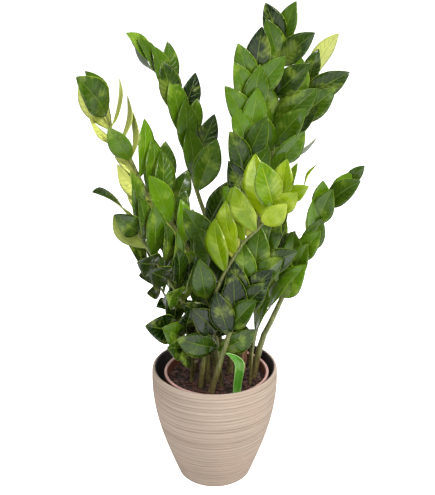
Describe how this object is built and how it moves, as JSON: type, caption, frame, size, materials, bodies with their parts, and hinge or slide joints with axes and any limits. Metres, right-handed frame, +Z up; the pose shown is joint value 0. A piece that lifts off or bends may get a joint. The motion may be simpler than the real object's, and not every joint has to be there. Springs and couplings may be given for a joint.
{
  "type": "potted zz plant",
  "caption": "Potted ZZ plant with arching fronds of glossy pointed leaflets, in a nursery pot of bark soil that hangs in a tapered, horizontally grooved stoneware cachepot.",
  "frame": {"origin": "centre of the flat underside of the cachepot, on the surface it stands on", "axes": "+Z up; the plant's most open side looks along -Y, and +X is to the right seen from there"},
  "size_m": [0.4168, 0.3209, 0.7622],
  "materials": {
    "stoneware": "matte taupe stoneware with fine horizontal throwing grooves",
    "pot_plastic": "satin terracotta-brown polypropylene",
    "bark_soil": "moist dark bark and peat, rough",
    "rhizome_skin": "dull potato-like skin",
    "stalk_skin": "smooth olive-green stalk skin, mottled brown at the foot",
    "leaf": "glossy waxed leaf with a paler midrib, veins and underside",
    "young_leaf": "glossy light yellow-green young leaf",
    "dry_sheath": "dry papery brown"
  },
  "bodies": {
    "root": {"cachepot": "stoneware", "nursery_pot": "pot_plastic", "soil": "bark_soil", "rhizome_left": "rhizome_skin", "rhizome_front": "rhizome_skin", "rhizome_back": "rhizome_skin", "rhizome_right": "rhizome_skin", "left_arching_petiole": "stalk_skin", "left_arching_blade": "leaf", "tall_left_petiole": "stalk_skin", "tall_left_blade": "leaf", "tall_right_petiole": "stalk_skin", "tall_right_blade": "leaf", "centre_petiole": "stalk_skin", "centre_blade": "leaf", "back_right_petiole": "stalk_skin", "back_right_blade": "leaf", "young_petiole": "stalk_skin", "young_blade": "young_leaf", "right_arching_petiole": "stalk_skin", "right_arching_blade": "leaf", "front_right_petiole": "stalk_skin", "front_right_blade": "leaf", "front_left_petiole": "stalk_skin", "front_left_blade": "leaf", "inner_petiole": "stalk_skin", "inner_blade": "leaf", "low_side_petiole": "stalk_skin", "low_side_blade": "leaf", "low_left_petiole": "stalk_skin", "low_left_blade": "leaf", "low_front_petiole": "stalk_skin", "low_front_blade": "leaf", "low_right_petiole": "stalk_skin", "low_right_blade": "leaf", "back_left_petiole": "stalk_skin", "back_left_blade": "leaf", "back_middle_petiole": "stalk_skin", "back_middle_blade": "leaf", "cut_stub": "stalk_skin", "strap_leaf": "leaf", "dry_sheath": "dry_sheath"}
  },
  "joints": []
}
